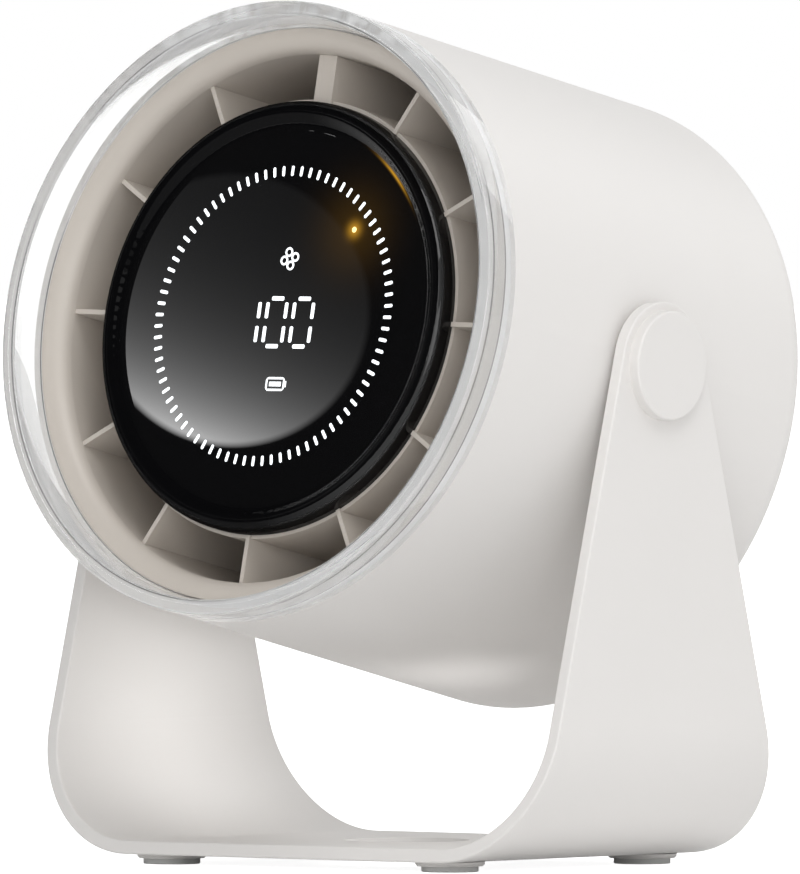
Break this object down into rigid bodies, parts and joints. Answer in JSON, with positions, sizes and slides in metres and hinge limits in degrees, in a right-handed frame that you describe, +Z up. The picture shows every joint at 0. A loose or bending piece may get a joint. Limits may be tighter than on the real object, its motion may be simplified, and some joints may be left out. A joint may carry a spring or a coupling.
{
  "type": "desk air circulator fan",
  "caption": "Desk air circulator: a short barrel fan with a clear front ring, guide vanes and a round lit display, tilting between the legs of a bent U stand.",
  "frame": {"origin": "on the table, under the middle of the whole object as it stands at rest", "axes": "+Z up; -Y the way the fan faces; X from leg to leg along the tilt axis"},
  "size_m": [0.132, 0.1207, 0.1666],
  "materials": {
    "white_plastic": "fine matte, off-white",
    "duct_plastic": "satin, warm grey",
    "impeller_plastic": "satin, darker warm grey",
    "clear_plastic": "polished clear",
    "lens_plastic": "polished black",
    "white_guide": "frosted, lit white",
    "amber_guide": "lit amber",
    "black_plastic": "moulded matte",
    "circuit_board": "solder mask",
    "chip_black": "moulded epoxy",
    "led_yellow": "clear resin over phosphor",
    "ribbon_film": "polyimide film",
    "cell_sleeve": "shrink sleeve",
    "nickel_strip": "rolled",
    "steel": "turned",
    "laminated_steel": "stamped stack",
    "winding_copper": "enamelled",
    "magnet_black": "ground",
    "motor_alloy": "die cast",
    "insert_brass": "knurled",
    "natural_nylon": "moulded",
    "foot_rubber": "matte",
    "wire_cover": "smooth"
  },
  "bodies": {
    "stand": {"u_stand": "white_plastic", "foot_pads": "foot_rubber", "friction_bush_right": "natural_nylon", "friction_bush_left": "natural_nylon", "tension_washers": "steel", "pivot_cap_right": "white_plastic", "pivot_cap_left": "white_plastic"},
    "head": {"pivot_screw_right": "steel", "pivot_screw_left": "steel", "pivot_insert_right": "insert_brass", "pivot_insert_left": "insert_brass", "outer_shell": "white_plastic", "clear_ring": "clear_plastic", "duct_liner": "duct_plastic", "hub_housing": "duct_plastic", "guide_vanes": "duct_plastic", "display_lens": "lens_plastic", "tick_light_ring": "white_guide", "symbol_light_guide": "white_guide", "status_light": "amber_guide", "display_frame": "black_plastic", "display_board": "circuit_board", "display_leds": "led_yellow", "display_ribbon": "ribbon_film", "battery_cells": "cell_sleeve", "battery_tabs": "nickel_strip", "battery_tray": "black_plastic", "control_board": "circuit_board", "board_components": "chip_black", "board_screws": "steel", "motor_base": "motor_alloy", "motor_screws": "steel", "motor_bearings": "steel", "stator_core": "laminated_steel", "stator_coils": "winding_copper", "motor_leads": "wire_cover", "rear_grille": "white_plastic", "rear_screws": "steel", "dial_board": "circuit_board", "encoder_body": "black_plastic", "usb_board": "circuit_board", "usb_socket": "steel", "usb_leads": "wire_cover", "wire_harness": "wire_cover"},
    "rotor": {"impeller_hub": "impeller_plastic", "impeller_blades": "impeller_plastic", "rotor_can": "steel", "rotor_magnets": "magnet_black", "motor_shaft": "steel"},
    "button": {"press_plunger": "black_plastic"},
    "dial": {"dial_shaft": "steel", "speed_dial": "white_plastic"}
  },
  "joints": [
    {"name": "head_tilt", "type": "hinge", "parent": "stand", "child": "head", "pos_m": [0, 0.00132, 0.0968], "axis": [-1, 0, 0], "range_deg": [-102.1, 77.9]},
    {"name": "rotor_spin", "type": "hinge", "parent": "head", "child": "rotor", "pos_m": [0, -0.04781, 0.10805], "axis": [0, -0.9778, 0.2096], "continuous": true},
    {"name": "dial_press", "type": "slide", "parent": "head", "child": "button", "axis": [0, -0.9778, 0.2096], "range_m": [0, 0.0006], "stiffness_N_per_m": 1500, "springref_m": -0.0002},
    {"name": "dial_turn", "type": "hinge", "parent": "button", "child": "dial", "pos_m": [0, -0.04781, 0.10805], "axis": [0, -0.9778, 0.2096], "continuous": true}
  ]
}
